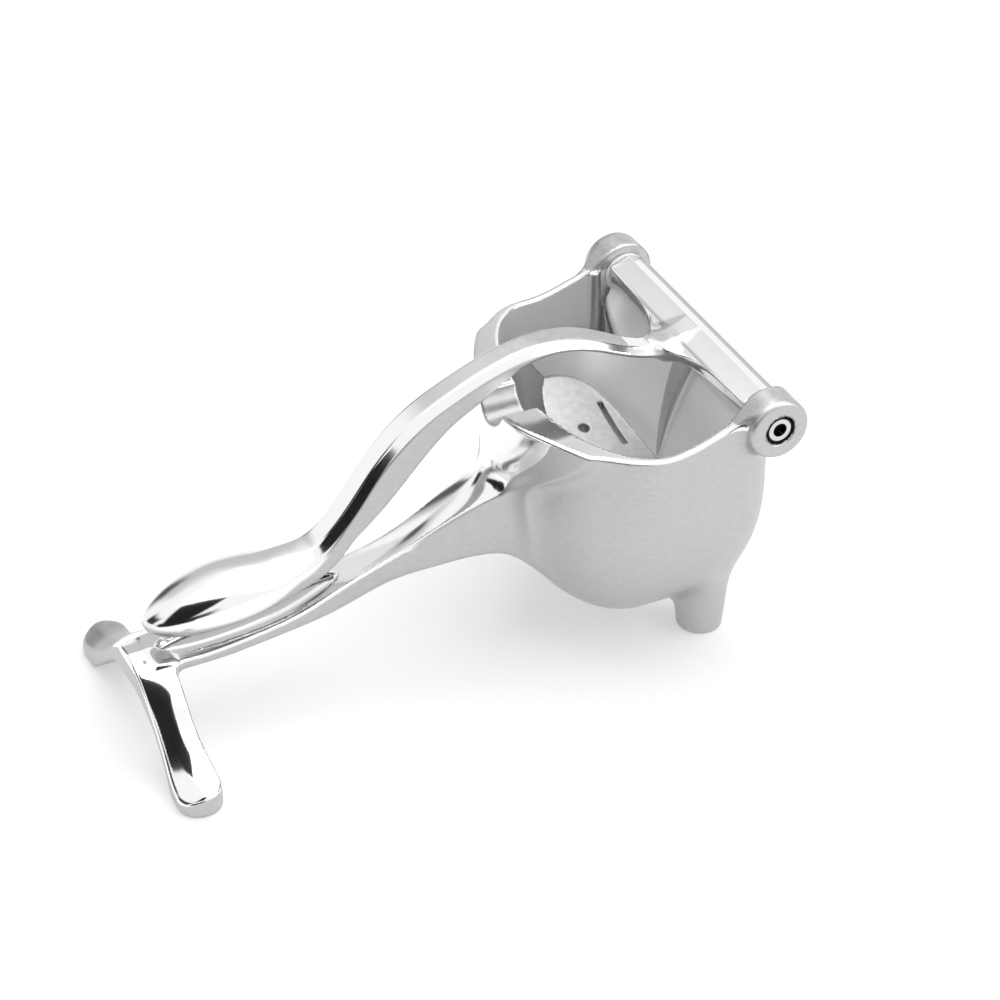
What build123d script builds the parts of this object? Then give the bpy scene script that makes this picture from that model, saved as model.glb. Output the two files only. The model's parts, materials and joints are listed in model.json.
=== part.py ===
"""Hinged lemon squeezer: two aluminium castings on a socket-screw hinge.

Frame: millimetres, +Z up. X runs from the T-bar foot (-X) to the hinge (+X), Y runs along the
hinge axis. The origin lies on the table, in the middle of the closed tool's bounding box.
"""
from build123d import *
import math
import os

# ---------------------------------------------------------------- hinge
HINGE_X = 89.7
HINGE_Z = 87.6
LUG_RADIUS = 9.5
LUG_LAP = 5.0                   # lug's inner face inside the bowl's outer side wall
LUG_WIDTH = 10.0
LUG_EDGE_ROUND = 1.4
BAR_RADIUS = 7.4
BAR_FLAT_DEPTH = 5.0            # from the axis to the flat on the bar's lower front
BAR_FLAT_ANGLE = 40.0           # direction of that flat, below the horizontal
RUN_CLEAR = 0.05                # radial, screw shoulder in its bush
SEAT_CLEAR = 0.02               # radial, bush in lug and screw shank in bar
FACE_GAP = 0.15                 # axial, each side of a thrust washer

# ---------------------------------------------------------------- screws, bushes, washers
SHOULDER_RADIUS = 3.0
SHANK_RADIUS = 2.5
SHANK_LENGTH = 14.0
HEAD_RADIUS = 4.2
HEAD_HEIGHT = 4.0
HEAD_SINK = 0.6                 # head face below the lug's outer face
HEAD_CLEAR = 0.5                # radial, head in its counterbore
HEX_ACROSS = 4.0
HEX_DEPTH = 2.2
BUSH_WALL = 1.0
WASHER_THICKNESS = 1.2
WASHER_RADIUS = 6.8

# ---------------------------------------------------------------- bowl
BOWL_CENTRE_X = 56.2            # where the elliptical front meets the squarer rear
BOWL_FRONT = 30.0
BOWL_REAR = 41.0
BOWL_HALF_WIDTH = 50.0
BOWL_SIDE_WALL = 3.0
BOWL_LAND = 7.0                 # width of the flat land round the front of the mouth
BOWL_REAR_POWER = 5.0
RIM_Z = 84.0
BOWL_ROUND_Z = 62.0             # below this height the walls curve in
BOWL_BOTTOM_Z = 9.0
BOWL_FLOOR_Z = 13.0
BOWL_CURVE_POWER = 2.3
REAR_WALL_TOP_Z = 77.5
BAR_ROOM = 1.0                  # between the hinge bar and the rear wall
RIM_RISE_START_X = 60.0
RIM_RISE_END_X = 81.0
RIM_RISE_Z = 90.5
RIB_RADIUS = 3.2                # upright half-round inside, under each lug
RIB_AHEAD = 9.0                 # rib's axis ahead of the hinge axis
RIB_PROUD = 2.4                 # how far it stands in from the side wall
DRAIN_RADIUS = 2.0
DRAIN_PITCH = 9.0
DRAIN_COUNT = 5

# ---------------------------------------------------------------- rear legs
LEG_INSET = 15.6                # leg's axis ahead of the bowl's rear
LEG_Y = 25.7
LEG_FOOT_RADIUS = 7.2
LEG_TOP_RADIUS = 10.0
LEG_TOP_Z = 34.0
LEG_EDGE_ROUND = 1.2

# ---------------------------------------------------------------- T-bar foot
FOOT_X = -92.2
FOOT_Y = 40.2
FOOT_RADIUS = 7.0
FOOT_HEIGHT = 8.0
TBAR_HALF_WIDTH = 5.8
TBAR_ROOT_HALF_WIDTH = 8.5
TBAR_CROWN_Z = 29.0
TBAR_THICKNESS = 9.5
TBAR_EDGE_ROUND = 1.5

# ---------------------------------------------------------------- lower handle
HANDLE_HALF_WIDTH = 5.6
HANDLE_WELL_HALF_WIDTH = 8.6
HANDLE_EDGE_ROUND = 1.2
WELL_SETBACK = 7.2              # well's front end behind the T-bar's middle
WELL_LENGTH = 54.5
WELL_HALF_WIDTH = 6.4
WELL_DEPTH = 3.5
HORN_HALF_WIDTH = 9.5
HORN_TOP_HALF_WIDTH = 6.0
SEAT_RADIUS = 7.6               # notch in the front of the rim that clears the arm
SEAT_RISE = 1.4                 # notch's axis above the rim

# ---------------------------------------------------------------- lever
ARM_HALF_WIDTH = 6.3
ARM_BEVEL = 2.4
WEB_THICKNESS = 6.0
GRIP_HALF_WIDTH = 12.0
SHOE_SIDE_CLEAR = 4.5           # shoe to the bowl's inner side wall
SHOE_REAR = 23.0                # plan semi-axis of the shoe's inside at its crease
SHOE_CREASE_Z = 46.0
SHOE_FLARE = 0.30               # how far the back wall leans per mm of height
SHOE_WALL = 3.0
SHOE_DISH_RADIUS = 57.0
SHOE_TOP_Z = 86.0
SHOE_TOP_DROP = 24.0
MOUTH_CLEAR = 1.0               # shoe to land, anywhere on its swing
GUSSET_HALF_WIDTH = 3.2
GUSSET_DEPTH = 5.5
SLOT_REACH = 17.8               # slot's middle behind the bowl's centre
SLOT_START_Y = 12.0
SLOT_LENGTH = 18.0
SLOT_WIDTH = 1.6
VENT_RADIUS = 1.7
VENT_REACH = 8.5                # vent's axis behind the bowl's centre
VENT_Y = 22.5

BIG = 200.0                     # longer than any piece, for blocks that only cut or bound
SHOE_BLOCK = 120.0              # past the shoe's rear, for the blocks that shape it

LUG_INNER_Y = BOWL_HALF_WIDTH - LUG_LAP
LUG_OUTER_Y = LUG_INNER_Y + LUG_WIDTH
BAR_END_Y = LUG_INNER_Y - WASHER_THICKNESS - 2 * FACE_GAP
BUSH_OUTER_RADIUS = SHOULDER_RADIUS + RUN_CLEAR + BUSH_WALL
BOWL_FRONT_X = BOWL_CENTRE_X - BOWL_FRONT
RIB_X = HINGE_X - RIB_AHEAD
LEG_X = BOWL_CENTRE_X + BOWL_REAR - LEG_INSET
SEAT_Z = RIM_Z + SEAT_RISE
SHOE_HALF_WIDTH = BOWL_HALF_WIDTH - BOWL_SIDE_WALL - SHOE_SIDE_CLEAR
SLOT_X = BOWL_CENTRE_X + SLOT_REACH
VENT_X = BOWL_CENTRE_X + VENT_REACH
OUTPUT = "parts"

# handle outlines in side view: (x back from the T-bar's middle, z)
HANDLE_TOP = [(0.2, 28.5), (8.2, 27.5), (27.2, 29.0), (47.2, 32.2), (60.7, 36.6), (80.6, 42.6),
              (94.0, 48.2), (107.4, 54.2), (119.2, 57.0), (128.2, 57.5)]
HANDLE_UNDER = [(128.2, 22.0), (121.2, 28.6), (114.2, 33.6), (107.2, 35.3), (94.2, 34.8), (80.7, 33.4),
                (70.7, 30.8), (60.6, 28.0), (47.2, 26.0), (34.2, 24.6), (22.2, 23.6), (9.2, 22.8),
                (0.2, 21.8)]
# lever outlines in side view: (x, z) from the hinge axis
ARM_TOP = [(-135.2, -38.8), (-129.7, -37.6), (-123.2, -31.6), (-116.2, -23.1), (-109.7, -14.2),
           (-103.0, -6.7), (-96.4, -1.0), (-89.7, 3.3), (-82.7, 6.8), (-75.7, 9.9), (-67.7, 12.8),
           (-59.7, 14.7), (-51.7, 15.4), (-43.7, 14.6), (-35.7, 12.3), (-28.7, 9.2), (-21.7, 6.0),
           (-13.7, 3.6), (-5.7, 3.0)]
ARM_UNDER = [(-5.7, -3.0), (-13.7, -2.2), (-21.7, 0.6), (-28.7, 3.8), (-35.7, 7.0), (-43.7, 9.4),
             (-51.7, 10.2), (-59.7, 9.0), (-66.7, 5.8), (-74.7, 1.0), (-81.2, -2.6), (-87.7, -7.6),
             (-101.1, -21.6), (-114.4, -34.1), (-121.0, -39.0), (-127.7, -43.0), (-135.2, -45.1)]


def hinge_cylinder(radius, y_from, y_to):
    """A cylinder on the hinge axis between two places along Y."""
    plane = Plane(origin=(HINGE_X, y_from, HINGE_Z), x_dir=(1, 0, 0), z_dir=(0, 1, 0))
    return extrude(plane * Circle(radius), amount=y_to - y_from)


def side_face(top, under):
    """The face between two smooth side-view outlines, in the XZ plane."""
    upper = Spline(*[(x, 0, z) for x, z in top])
    lower = Spline(*[(x, 0, z) for x, z in under])
    front = Line(lower @ 1, upper @ 0)
    back = Line(upper @ 1, lower @ 0)
    return Face(Wire([upper, back, lower, front]))


def from_tbar(points):
    """Handle points, moved to the T-bar."""
    return [(FOOT_X + x, z) for x, z in points]


def from_hinge(points):
    """Lever points, moved to the hinge axis."""
    return [(HINGE_X + x, HINGE_Z + z) for x, z in points]


def both_ways(face, half_width):
    """A side-view face extruded to both sides of the middle plane."""
    return extrude(face, amount=half_width, dir=(0, 1, 0), both=True)


def plan_block(edges, height):
    """A closed plan outline extruded straight up from the table."""
    return extrude(Face(Wire(edges)), amount=height, dir=(0, 0, 1))


def front_block(edges, x_from, length):
    """A closed front-view outline, (y, z), extruded along +X."""
    plane = Plane(origin=(x_from, 0, 0), x_dir=(0, 1, 0), z_dir=(1, 0, 0))
    return extrude(plane * Face(Wire(edges)), amount=length, dir=(1, 0, 0))


def plan_point(angle, front, rear, half_width, scale):
    """A point of the bowl's plan: an elliptical front and a squarer rear."""
    c = math.cos(angle)
    s = math.sin(angle)
    if c < 0:
        return (BOWL_CENTRE_X + front * scale * c, half_width * scale * s)
    power = 2.0 / BOWL_REAR_POWER
    x = rear * scale * abs(c) ** power
    y = half_width * scale * math.copysign(abs(s) ** power, s)
    return (BOWL_CENTRE_X + x, y)


def bowl_loft(front, rear, half_width, bottom_z, top_z):
    """The bowl's outside or inside: upright walls that curve in to a flat bottom."""
    heights = [top_z, BOWL_ROUND_Z + 8.0, BOWL_ROUND_Z]
    depth = BOWL_ROUND_Z - bottom_z
    heights += [BOWL_ROUND_Z - depth * part for part in (0.3, 0.52, 0.7, 0.84, 0.94, 1.0)]
    wires = []
    for z in heights:
        fall = max(0.0, (BOWL_ROUND_Z - z) / depth)
        scale = (1.0 - min(0.965, fall) ** BOWL_CURVE_POWER) ** (1.0 / BOWL_CURVE_POWER)
        corners = [plan_point(2 * math.pi * i / 28, front, rear, half_width, scale) for i in range(28)]
        wires.append(Wire([Spline(*[(x, y, z) for x, y in corners], periodic=True)]))
    return Solid.make_loft(wires)


def rim_profile():
    """Everything above the rim line, as a solid to cut away."""
    top = RIM_Z + 30.0
    back = HINGE_X + 30.0
    rise = Spline((RIM_RISE_START_X, 0, RIM_Z), (RIM_RISE_END_X, 0, RIM_RISE_Z),
                  tangents=[(1, 0, 0), (1, 0, 0.3)])
    outline = Polyline((RIM_RISE_END_X, 0, RIM_RISE_Z), (back, 0, RIM_RISE_Z + 4.0), (back, 0, top),
                       (-20, 0, top), (-20, 0, RIM_Z), (RIM_RISE_START_X, 0, RIM_Z))
    return both_ways(Face(Wire([rise] + outline.edges())), BOWL_HALF_WIDTH + 5.0)


def bowl_outside():
    """The bowl's outer form, run up past the rim."""
    return bowl_loft(BOWL_FRONT, BOWL_REAR, BOWL_HALF_WIDTH, BOWL_BOTTOM_Z, HINGE_Z + 4.0)


def bowl_cavity():
    """The space inside the bowl, run out past the top."""
    return bowl_loft(BOWL_FRONT - BOWL_LAND, BOWL_REAR - BOWL_SIDE_WALL,
                     BOWL_HALF_WIDTH - BOWL_SIDE_WALL, BOWL_FLOOR_Z, HINGE_Z + 20.0)


def make_lugs(outside):
    """The two hinge lugs and the uprights that carry them inside the side walls."""
    pieces = []
    for side in (-1, 1):
        y_in = side * LUG_INNER_Y
        lug = hinge_cylinder(LUG_RADIUS, min(y_in, side * LUG_OUTER_Y), max(y_in, side * LUG_OUTER_Y))
        outer = lug.edges().filter_by(GeomType.CIRCLE).sort_by(Axis.Y)[-1 if side > 0 else 0]
        pieces.append(fillet(outer, LUG_EDGE_ROUND))
        foot = Pos(RIB_X, side * (BOWL_HALF_WIDTH - BOWL_SIDE_WALL - RIB_PROUD + RIB_RADIUS),
                   BOWL_ROUND_Z)
        pieces.append(outside & foot * Cylinder(RIB_RADIUS, HINGE_Z - BOWL_ROUND_Z - 6.0,
                                                align=(Align.CENTER, Align.CENTER, Align.MIN)))
    return pieces


def make_legs():
    """Two round rear legs that run up into the bowl."""
    legs = []
    for side in (-1, 1):
        leg = Cone(LEG_FOOT_RADIUS, LEG_TOP_RADIUS, LEG_TOP_Z,
                   align=(Align.CENTER, Align.CENTER, Align.MIN))
        sole = leg.edges().filter_by(GeomType.CIRCLE).sort_by(Axis.Z)[0]
        legs.append(Pos(LEG_X, side * LEG_Y, 0) * fillet(sole, LEG_EDGE_ROUND))
    return legs


def make_tbar():
    """The arched front foot: an arch in front view, cut to its waisted plan."""
    crown = TBAR_CROWN_Z
    tip = FOOT_Y + FOOT_RADIUS
    under = crown - TBAR_THICKNESS
    top = Spline((-tip, FOOT_HEIGHT - 2.0), (-FOOT_Y, FOOT_HEIGHT), (-FOOT_Y * 0.55, crown * 0.64),
                 (0, crown), (FOOT_Y * 0.55, crown * 0.64), (FOOT_Y, FOOT_HEIGHT),
                 (tip, FOOT_HEIGHT - 2.0))
    heel = FOOT_Y - FOOT_RADIUS + 1.0
    arch = Spline((heel, 0), (heel * 0.62, under * 0.58), (0, under), (-heel * 0.62, under * 0.58),
                  (-heel, 0))
    outline = [top, Line((tip, FOOT_HEIGHT - 2.0), (tip, 0)), Line((tip, 0), (heel, 0)), arch,
               Line((-heel, 0), (-tip, 0)), Line((-tip, 0), (-tip, FOOT_HEIGHT - 2.0))]
    arch_block = front_block(outline, FOOT_X - 2 * FOOT_RADIUS, 4 * FOOT_RADIUS)
    waist = [(FOOT_X - TBAR_ROOT_HALF_WIDTH + 2.5, 0), (FOOT_X - TBAR_HALF_WIDTH, FOOT_Y * 0.5),
             (FOOT_X - FOOT_RADIUS, FOOT_Y), (FOOT_X, FOOT_Y + FOOT_RADIUS),
             (FOOT_X + FOOT_RADIUS, FOOT_Y), (FOOT_X + TBAR_HALF_WIDTH, FOOT_Y * 0.5),
             (FOOT_X + TBAR_ROOT_HALF_WIDTH, 6.0)]
    half = [Spline(waist[0], waist[1], waist[2], tangents=[(0, 1), (0, 1)]),
            ThreePointArc(waist[2], waist[3], waist[4]),
            Spline(waist[4], waist[5], waist[6], tangents=[(0, -1), (1, -1)])]
    mirrored = [edge.mirror(Plane.XZ) for edge in half]
    closing = Line(waist[6], (waist[6][0], -waist[6][1]))
    return arch_block & plan_block(half + [closing] + mirrored, crown * 2)


def make_handle():
    """The lower handle: a side-view blade cut to its plan, with the long well in its top."""
    blade = both_ways(side_face(from_tbar(HANDLE_TOP), from_tbar(HANDLE_UNDER)), HORN_HALF_WIDTH + 8.0)
    wide = HANDLE_WELL_HALF_WIDTH
    slim = HANDLE_HALF_WIDTH
    far_side = Spline(*from_tbar([(0.2, wide - 2.0), (12.2, wide), (32.2, wide), (57.2, wide - 1.2),
                                  (77.2, slim), (97.2, slim + 0.6), (112.2, HORN_HALF_WIDTH - 1.0),
                                  (130.2, HORN_HALF_WIDTH + 7.0)]))
    near_side = far_side.mirror(Plane.XZ)
    ends = [Line(far_side @ 1, near_side @ 1), Line(near_side @ 0, far_side @ 0)]
    return blade & plan_block([far_side, near_side] + ends, HINGE_Z)


def make_well():
    """The long shallow dish that the grip pad hangs over."""
    half_length = WELL_LENGTH / 2
    middle = FOOT_X + WELL_SETBACK + half_length
    plan = Pos(middle, 0, 0) * Ellipse(half_length, WELL_HALF_WIDTH)
    column = extrude(plan, amount=HINGE_Z)
    floor_top = [(x, z + 20.0) for x, z in from_tbar(HANDLE_TOP[:6])]
    floor_under = [(x, z - WELL_DEPTH) for x, z in reversed(from_tbar(HANDLE_TOP[:6]))]
    return column & both_ways(side_face(floor_top, floor_under), WELL_HALF_WIDTH + 1.0)


def make_horn():
    """The horn that sweeps the handle's top up the bowl's front to the rim."""
    top = [(-24.2, 48.0), (-17.2, 49.5), (-12.2, 53.5), (-8.7, 60.0), (-6.7, 68.0), (-5.6, 76.0),
           (-5.2, RIM_Z)]
    under = [(13.8, RIM_Z), (13.8, 60), (9.8, 40), (-6.2, 36), (-24.2, 35.5)]
    top = [(BOWL_FRONT_X + x, z) for x, z in top]
    under = [(BOWL_FRONT_X + x, z) for x, z in under]
    block = both_ways(side_face(top, under), HORN_HALF_WIDTH * 2)
    low = HORN_HALF_WIDTH
    high = HORN_TOP_HALF_WIDTH
    outline = [(low - 3, 34), (low, 46), (high + 1.5, 64), (high, RIM_Z), (-high, RIM_Z),
               (-high - 1.5, 64), (-low, 46), (-low + 3, 34)]
    block &= front_block(Polyline(*outline, close=True).edges(), 0.0, 60.0)
    edge = Spline((BOWL_FRONT_X - 24.2, HANDLE_HALF_WIDTH), (BOWL_FRONT_X - 12.2, HORN_HALF_WIDTH),
                  (BOWL_FRONT_X + 13.8, HORN_HALF_WIDTH + 6.0))
    other = edge.mirror(Plane.XZ)
    return block & plan_block([edge, other, Line(edge @ 1, other @ 1), Line(other @ 0, edge @ 0)],
                              HINGE_Z)


def make_body():
    """The body casting, with every bore and drain cut."""
    outside = bowl_outside()
    body = outside - rim_profile() + make_legs() + make_tbar() + make_handle() + make_horn()
    body = body - bowl_cavity() + make_lugs(outside)
    body -= make_well()
    room = BAR_RADIUS + BAR_ROOM
    body -= hinge_cylinder(room, -LUG_INNER_Y, LUG_INNER_Y)
    gap = Pos(HINGE_X - room, 0, REAR_WALL_TOP_Z)
    body -= gap * Box(60.0, 2 * LUG_INNER_Y, 60.0, align=(Align.MIN, Align.CENTER, Align.MIN))
    seat = Pos(BOWL_FRONT_X - 6.0, 0, SEAT_Z) * Rot(0, 90, 0)
    body -= seat * Cylinder(SEAT_RADIUS, 16.0, align=(Align.CENTER, Align.CENTER, Align.MIN))
    for side in (-1, 1):
        outer = side * LUG_OUTER_Y
        inner = side * LUG_INNER_Y
        floor = side * (LUG_OUTER_Y - HEAD_SINK - HEAD_HEIGHT)
        body -= hinge_cylinder(BUSH_OUTER_RADIUS + SEAT_CLEAR, min(inner, outer), max(inner, outer))
        body -= hinge_cylinder(HEAD_RADIUS + HEAD_CLEAR, min(floor, outer), max(floor, outer))
    for index in range(DRAIN_COUNT):
        place = Pos(BOWL_CENTRE_X + 4.0, (index - (DRAIN_COUNT - 1) / 2) * DRAIN_PITCH, 0)
        body -= place * Cylinder(DRAIN_RADIUS, 2 * BOWL_FLOOR_Z + 8.0)
    return body


def make_screw(side):
    """A socket-head shoulder screw: head in the lug, shoulder in the bush, shank in the bar."""
    face = LUG_OUTER_Y - HEAD_SINK
    under_head = face - HEAD_HEIGHT
    parts = [(HEAD_RADIUS, under_head, face), (SHOULDER_RADIUS, BAR_END_Y, under_head),
             (SHANK_RADIUS, BAR_END_Y - SHANK_LENGTH, BAR_END_Y)]
    screw = None
    for radius, low, high in parts:
        stretch = hinge_cylinder(radius, min(side * low, side * high), max(side * low, side * high))
        screw = stretch if screw is None else screw + stretch
    socket = Plane(origin=(HINGE_X, side * face, HINGE_Z), x_dir=(1, 0, 0), z_dir=(0, -side, 0))
    return screw - extrude(socket * RegularPolygon(HEX_ACROSS / 2, 6, major_radius=False),
                           amount=HEX_DEPTH)


def make_bush(side):
    """The sleeve in a lug."""
    low = LUG_INNER_Y
    high = LUG_OUTER_Y - HEAD_SINK - HEAD_HEIGHT
    y_from = min(side * low, side * high)
    y_to = max(side * low, side * high)
    sleeve = hinge_cylinder(BUSH_OUTER_RADIUS, y_from, y_to)
    return sleeve - hinge_cylinder(SHOULDER_RADIUS + RUN_CLEAR, y_from, y_to)


def make_washer(side):
    """The thrust ring between a lug and the hinge bar."""
    low = BAR_END_Y + FACE_GAP
    y_from = min(side * low, side * (low + WASHER_THICKNESS))
    y_to = max(side * low, side * (low + WASHER_THICKNESS))
    ring = hinge_cylinder(WASHER_RADIUS, y_from, y_to)
    return ring - hinge_cylinder(SHOULDER_RADIUS + RUN_CLEAR, y_from, y_to)


def make_arm():
    """The swan-neck arm and the strap over the bowl, with bevelled top edges."""
    arm = both_ways(side_face(from_hinge(ARM_TOP), from_hinge(ARM_UNDER)), ARM_HALF_WIDTH)
    crest = [edge for edge in arm.edges() if edge.length > 60.0]
    crest = sorted(crest, key=lambda edge: edge.center().Z)[-2:]
    return chamfer(crest, ARM_BEVEL)


def make_grip():
    """The flattened egg-shaped grip pad."""
    stations = [(-178.7, 9.8, -49.6, -46.6), (-176.2, 6.0, -51.6, -44.2), (-169.7, 1.8, -53.6, -40.4),
                (-160.7, 0.1, -54.6, -37.4), (-151.7, 0.0, -54.6, -36.8), (-143.7, 1.4, -53.0, -37.7),
                (-136.7, 3.8, -50.0, -38.6), (-129.7, 5.8, -45.6, -37.6)]
    sections = []
    for x, narrowing, low, high in stations:
        plane = Plane(origin=(HINGE_X + x, 0, HINGE_Z + (low + high) / 2), x_dir=(0, 1, 0),
                      z_dir=(1, 0, 0))
        sections.append(plane * Ellipse(GRIP_HALF_WIDTH - narrowing, (high - low) / 2))
    return loft([section.face() for section in sections])


def make_bar():
    """The hinge bar between the lugs, with its lower-front flat, and the web to the strap."""
    bar = hinge_cylinder(BAR_RADIUS, -BAR_END_Y, BAR_END_Y)
    angle = math.radians(BAR_FLAT_ANGLE)
    normal = Vector(-math.cos(angle), 0, -math.sin(angle))
    origin = Vector(HINGE_X, 0, HINGE_Z) + normal * BAR_FLAT_DEPTH
    bar -= Plane(origin=origin, x_dir=(0, 1, 0), z_dir=normal) * Box(
        BIG, BIG / 5, BIG / 10, align=(Align.CENTER, Align.CENTER, Align.MIN))
    side = Spline((HINGE_X, BAR_END_Y - 1.0), (HINGE_X - 4.2, 21.0), (HINGE_X - 8.2, 13.5),
                  (HINGE_X - 15.7, ARM_HALF_WIDTH), (HINGE_X - 25.7, ARM_HALF_WIDTH - 2.0))
    other = side.mirror(Plane.XZ)
    plan = plan_block([side, Line(side @ 1, other @ 1), other, Line(other @ 0, side @ 0)], BIG)
    top = from_hinge([(-29.7, 7.6), (-21.7, 5.0), (-13.7, 3.4), (-5.7, 4.0), (0.0, 4.4)])
    under = [(x, z - WEB_THICKNESS) for x, z in reversed(top)]
    web = plan & both_ways(side_face(top, under), BAR_END_Y)
    return bar + web


def flared_column(extra, half_width):
    """The inside (extra 0) or outside of the shoe's back wall: an oblique elliptical funnel."""
    wires = []
    for z in (SHOE_CREASE_Z - 20.0, SHOE_CREASE_Z + 42.0):
        rear = SHOE_REAR + extra + SHOE_FLARE * (z - SHOE_CREASE_Z)
        wires.append(Wire([Ellipse(rear, half_width + extra).edge().moved(Pos(BOWL_CENTRE_X, 0, z))]))
    return Solid.make_loft(wires)


def shoe_dish(radius):
    """A lying cylinder whose lowest line is the shoe's floor."""
    plane = Plane(origin=(0, 0, SHOE_CREASE_Z + SHOE_DISH_RADIUS), x_dir=(0, 1, 0), z_dir=(1, 0, 0))
    return extrude(plane * Circle(radius), amount=SHOE_BLOCK)


def mouth_sweep():
    """All that passes the bowl's mouth when it turns about the hinge: a solid of revolution."""
    reach = HINGE_X - BOWL_CENTRE_X
    front = BOWL_FRONT - BOWL_LAND - MOUTH_CLEAR
    half = BOWL_HALF_WIDTH - BOWL_SIDE_WALL - MOUTH_CLEAR
    points = []
    for index in range(13):
        y = -half * math.cos(math.pi * index / 12)
        points.append((HINGE_X - reach - front * math.sqrt(max(0.0, 1 - (y / half) ** 2)), y, HINGE_Z))
    curve = Spline(*points)
    closing = Polyline(points[-1], (HINGE_X, half, HINGE_Z), (HINGE_X, -half, HINGE_Z), points[0])
    axis = Axis((HINGE_X, 0, HINGE_Z), (0, 1, 0))
    return revolve(Face(Wire([curve] + closing.edges())), axis, 360.0)


def make_shoe():
    """The press shoe: a dished floor and a leaning back wall, with its rib, slots and vents."""
    outside = flared_column(SHOE_WALL, SHOE_HALF_WIDTH - SHOE_WALL) & shoe_dish(
        SHOE_DISH_RADIUS + SHOE_WALL)
    inside = flared_column(0.0, SHOE_HALF_WIDTH - SHOE_WALL) & shoe_dish(SHOE_DISH_RADIUS)
    half = SHOE_HALF_WIDTH + 1.0
    crest = Spline((-half, SHOE_TOP_Z - SHOE_TOP_DROP), (-half / 2, SHOE_TOP_Z - SHOE_TOP_DROP / 4),
                   (0, SHOE_TOP_Z), (half / 2, SHOE_TOP_Z - SHOE_TOP_DROP / 4),
                   (half, SHOE_TOP_Z - SHOE_TOP_DROP))
    sides = Polyline((half, SHOE_TOP_Z - SHOE_TOP_DROP), (half, 20), (-half, 20),
                     (-half, SHOE_TOP_Z - SHOE_TOP_DROP))
    tongue = front_block([crest] + sides.edges(), 0.0, SHOE_BLOCK)
    shoe = (outside - inside) & tongue & mouth_sweep()
    for side in (-1, 1):
        slot = Pos(SLOT_X, side * (SLOT_START_Y + SLOT_LENGTH / 2), SHOE_CREASE_Z)
        shoe -= slot * Box(SLOT_WIDTH, SLOT_LENGTH, 40.0)
        shoe -= Pos(VENT_X, side * VENT_Y, SHOE_CREASE_Z) * Cylinder(VENT_RADIUS, 40.0)
    return shoe


def make_gusset():
    """The upright rib between the shoe's back wall and the hinge bar."""
    foot_x = BOWL_CENTRE_X + SHOE_REAR
    rise = SHOE_TOP_Z - 2.0 - SHOE_CREASE_Z
    lean = SHOE_FLARE * rise
    outline = [(foot_x - 0.2, SHOE_CREASE_Z + 1.0), (foot_x + lean - GUSSET_DEPTH, SHOE_CREASE_Z + rise),
               (foot_x + lean + 1.5, SHOE_CREASE_Z + rise), (foot_x + 1.5, SHOE_CREASE_Z + 1.0)]
    plate = Face(Wire(Polyline(*[(x, 0, z) for x, z in outline], close=True).edges()))
    return both_ways(plate, GUSSET_HALF_WIDTH)


def make_lever():
    """The lever casting: grip, arm, web, hinge bar and press shoe in one."""
    lever = make_arm() + make_grip() + make_bar() + make_shoe() + make_gusset()
    for side in (-1, 1):
        low = BAR_END_Y - SHANK_LENGTH
        lever -= hinge_cylinder(SHANK_RADIUS + SEAT_CLEAR, min(side * low, side * BAR_END_Y),
                                max(side * low, side * BAR_END_Y))
    return lever


def build():
    """Every piece of the tool, by its name."""
    pieces = {"body_casting": make_body(), "press_lever": make_lever()}
    for side, name in ((-1, "near"), (1, "far")):
        pieces["hinge_screw_" + name] = make_screw(side)
        pieces["lug_bush_" + name] = make_bush(side)
        pieces["thrust_washer_" + name] = make_washer(side)
    return pieces


os.makedirs(OUTPUT, exist_ok=True)
for piece_name, piece in build().items():
    export_step(piece, os.path.join(OUTPUT, piece_name + ".step"))
    print(piece_name, "solids", len(piece.solids()), "volume", round(piece.volume))
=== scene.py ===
"""Hinged lemon squeezer: two polished aluminium castings, their hinge hardware and the studio.

Lengths inside the shape code are millimetres in the tool's own frame (+X towards the hinge,
+Y along the hinge axis, +Z up) and become metres when a mesh is written.
"""

import json
import logging
import math
from dataclasses import dataclass, field
from enum import Enum
from typing import Callable, Dict, List, Sequence, Tuple

import bpy
import numpy as np
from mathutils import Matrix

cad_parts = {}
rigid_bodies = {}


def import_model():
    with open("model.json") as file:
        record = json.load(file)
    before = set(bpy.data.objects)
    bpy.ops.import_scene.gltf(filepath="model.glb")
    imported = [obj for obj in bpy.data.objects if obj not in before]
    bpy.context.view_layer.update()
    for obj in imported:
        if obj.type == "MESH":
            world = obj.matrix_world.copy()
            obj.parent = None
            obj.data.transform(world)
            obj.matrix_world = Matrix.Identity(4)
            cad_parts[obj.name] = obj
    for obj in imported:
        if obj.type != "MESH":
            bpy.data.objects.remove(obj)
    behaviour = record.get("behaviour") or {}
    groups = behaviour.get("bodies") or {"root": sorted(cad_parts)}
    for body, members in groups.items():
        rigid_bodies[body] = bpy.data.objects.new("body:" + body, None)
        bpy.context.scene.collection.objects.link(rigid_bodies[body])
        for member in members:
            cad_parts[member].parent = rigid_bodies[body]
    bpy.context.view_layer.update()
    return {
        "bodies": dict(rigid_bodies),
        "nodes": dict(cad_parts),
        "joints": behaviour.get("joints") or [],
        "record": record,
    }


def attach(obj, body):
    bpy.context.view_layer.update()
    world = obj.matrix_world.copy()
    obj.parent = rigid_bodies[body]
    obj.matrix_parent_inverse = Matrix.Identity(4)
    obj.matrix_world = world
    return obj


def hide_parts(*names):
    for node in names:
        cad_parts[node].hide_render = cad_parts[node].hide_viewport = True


Array = np.ndarray
Field = Callable[[Array, Array, Array], Array]
Triple = Tuple[float, float, float]
Colour = Triple
Socket = bpy.types.NodeSocket
Sizes = Tuple[float, ...]

LOG = logging.getLogger("squeezer")
MM = 0.001
MASK_LIMIT = 4.0
DIAGONAL = 0.7071


# ---- lines and fields

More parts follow.
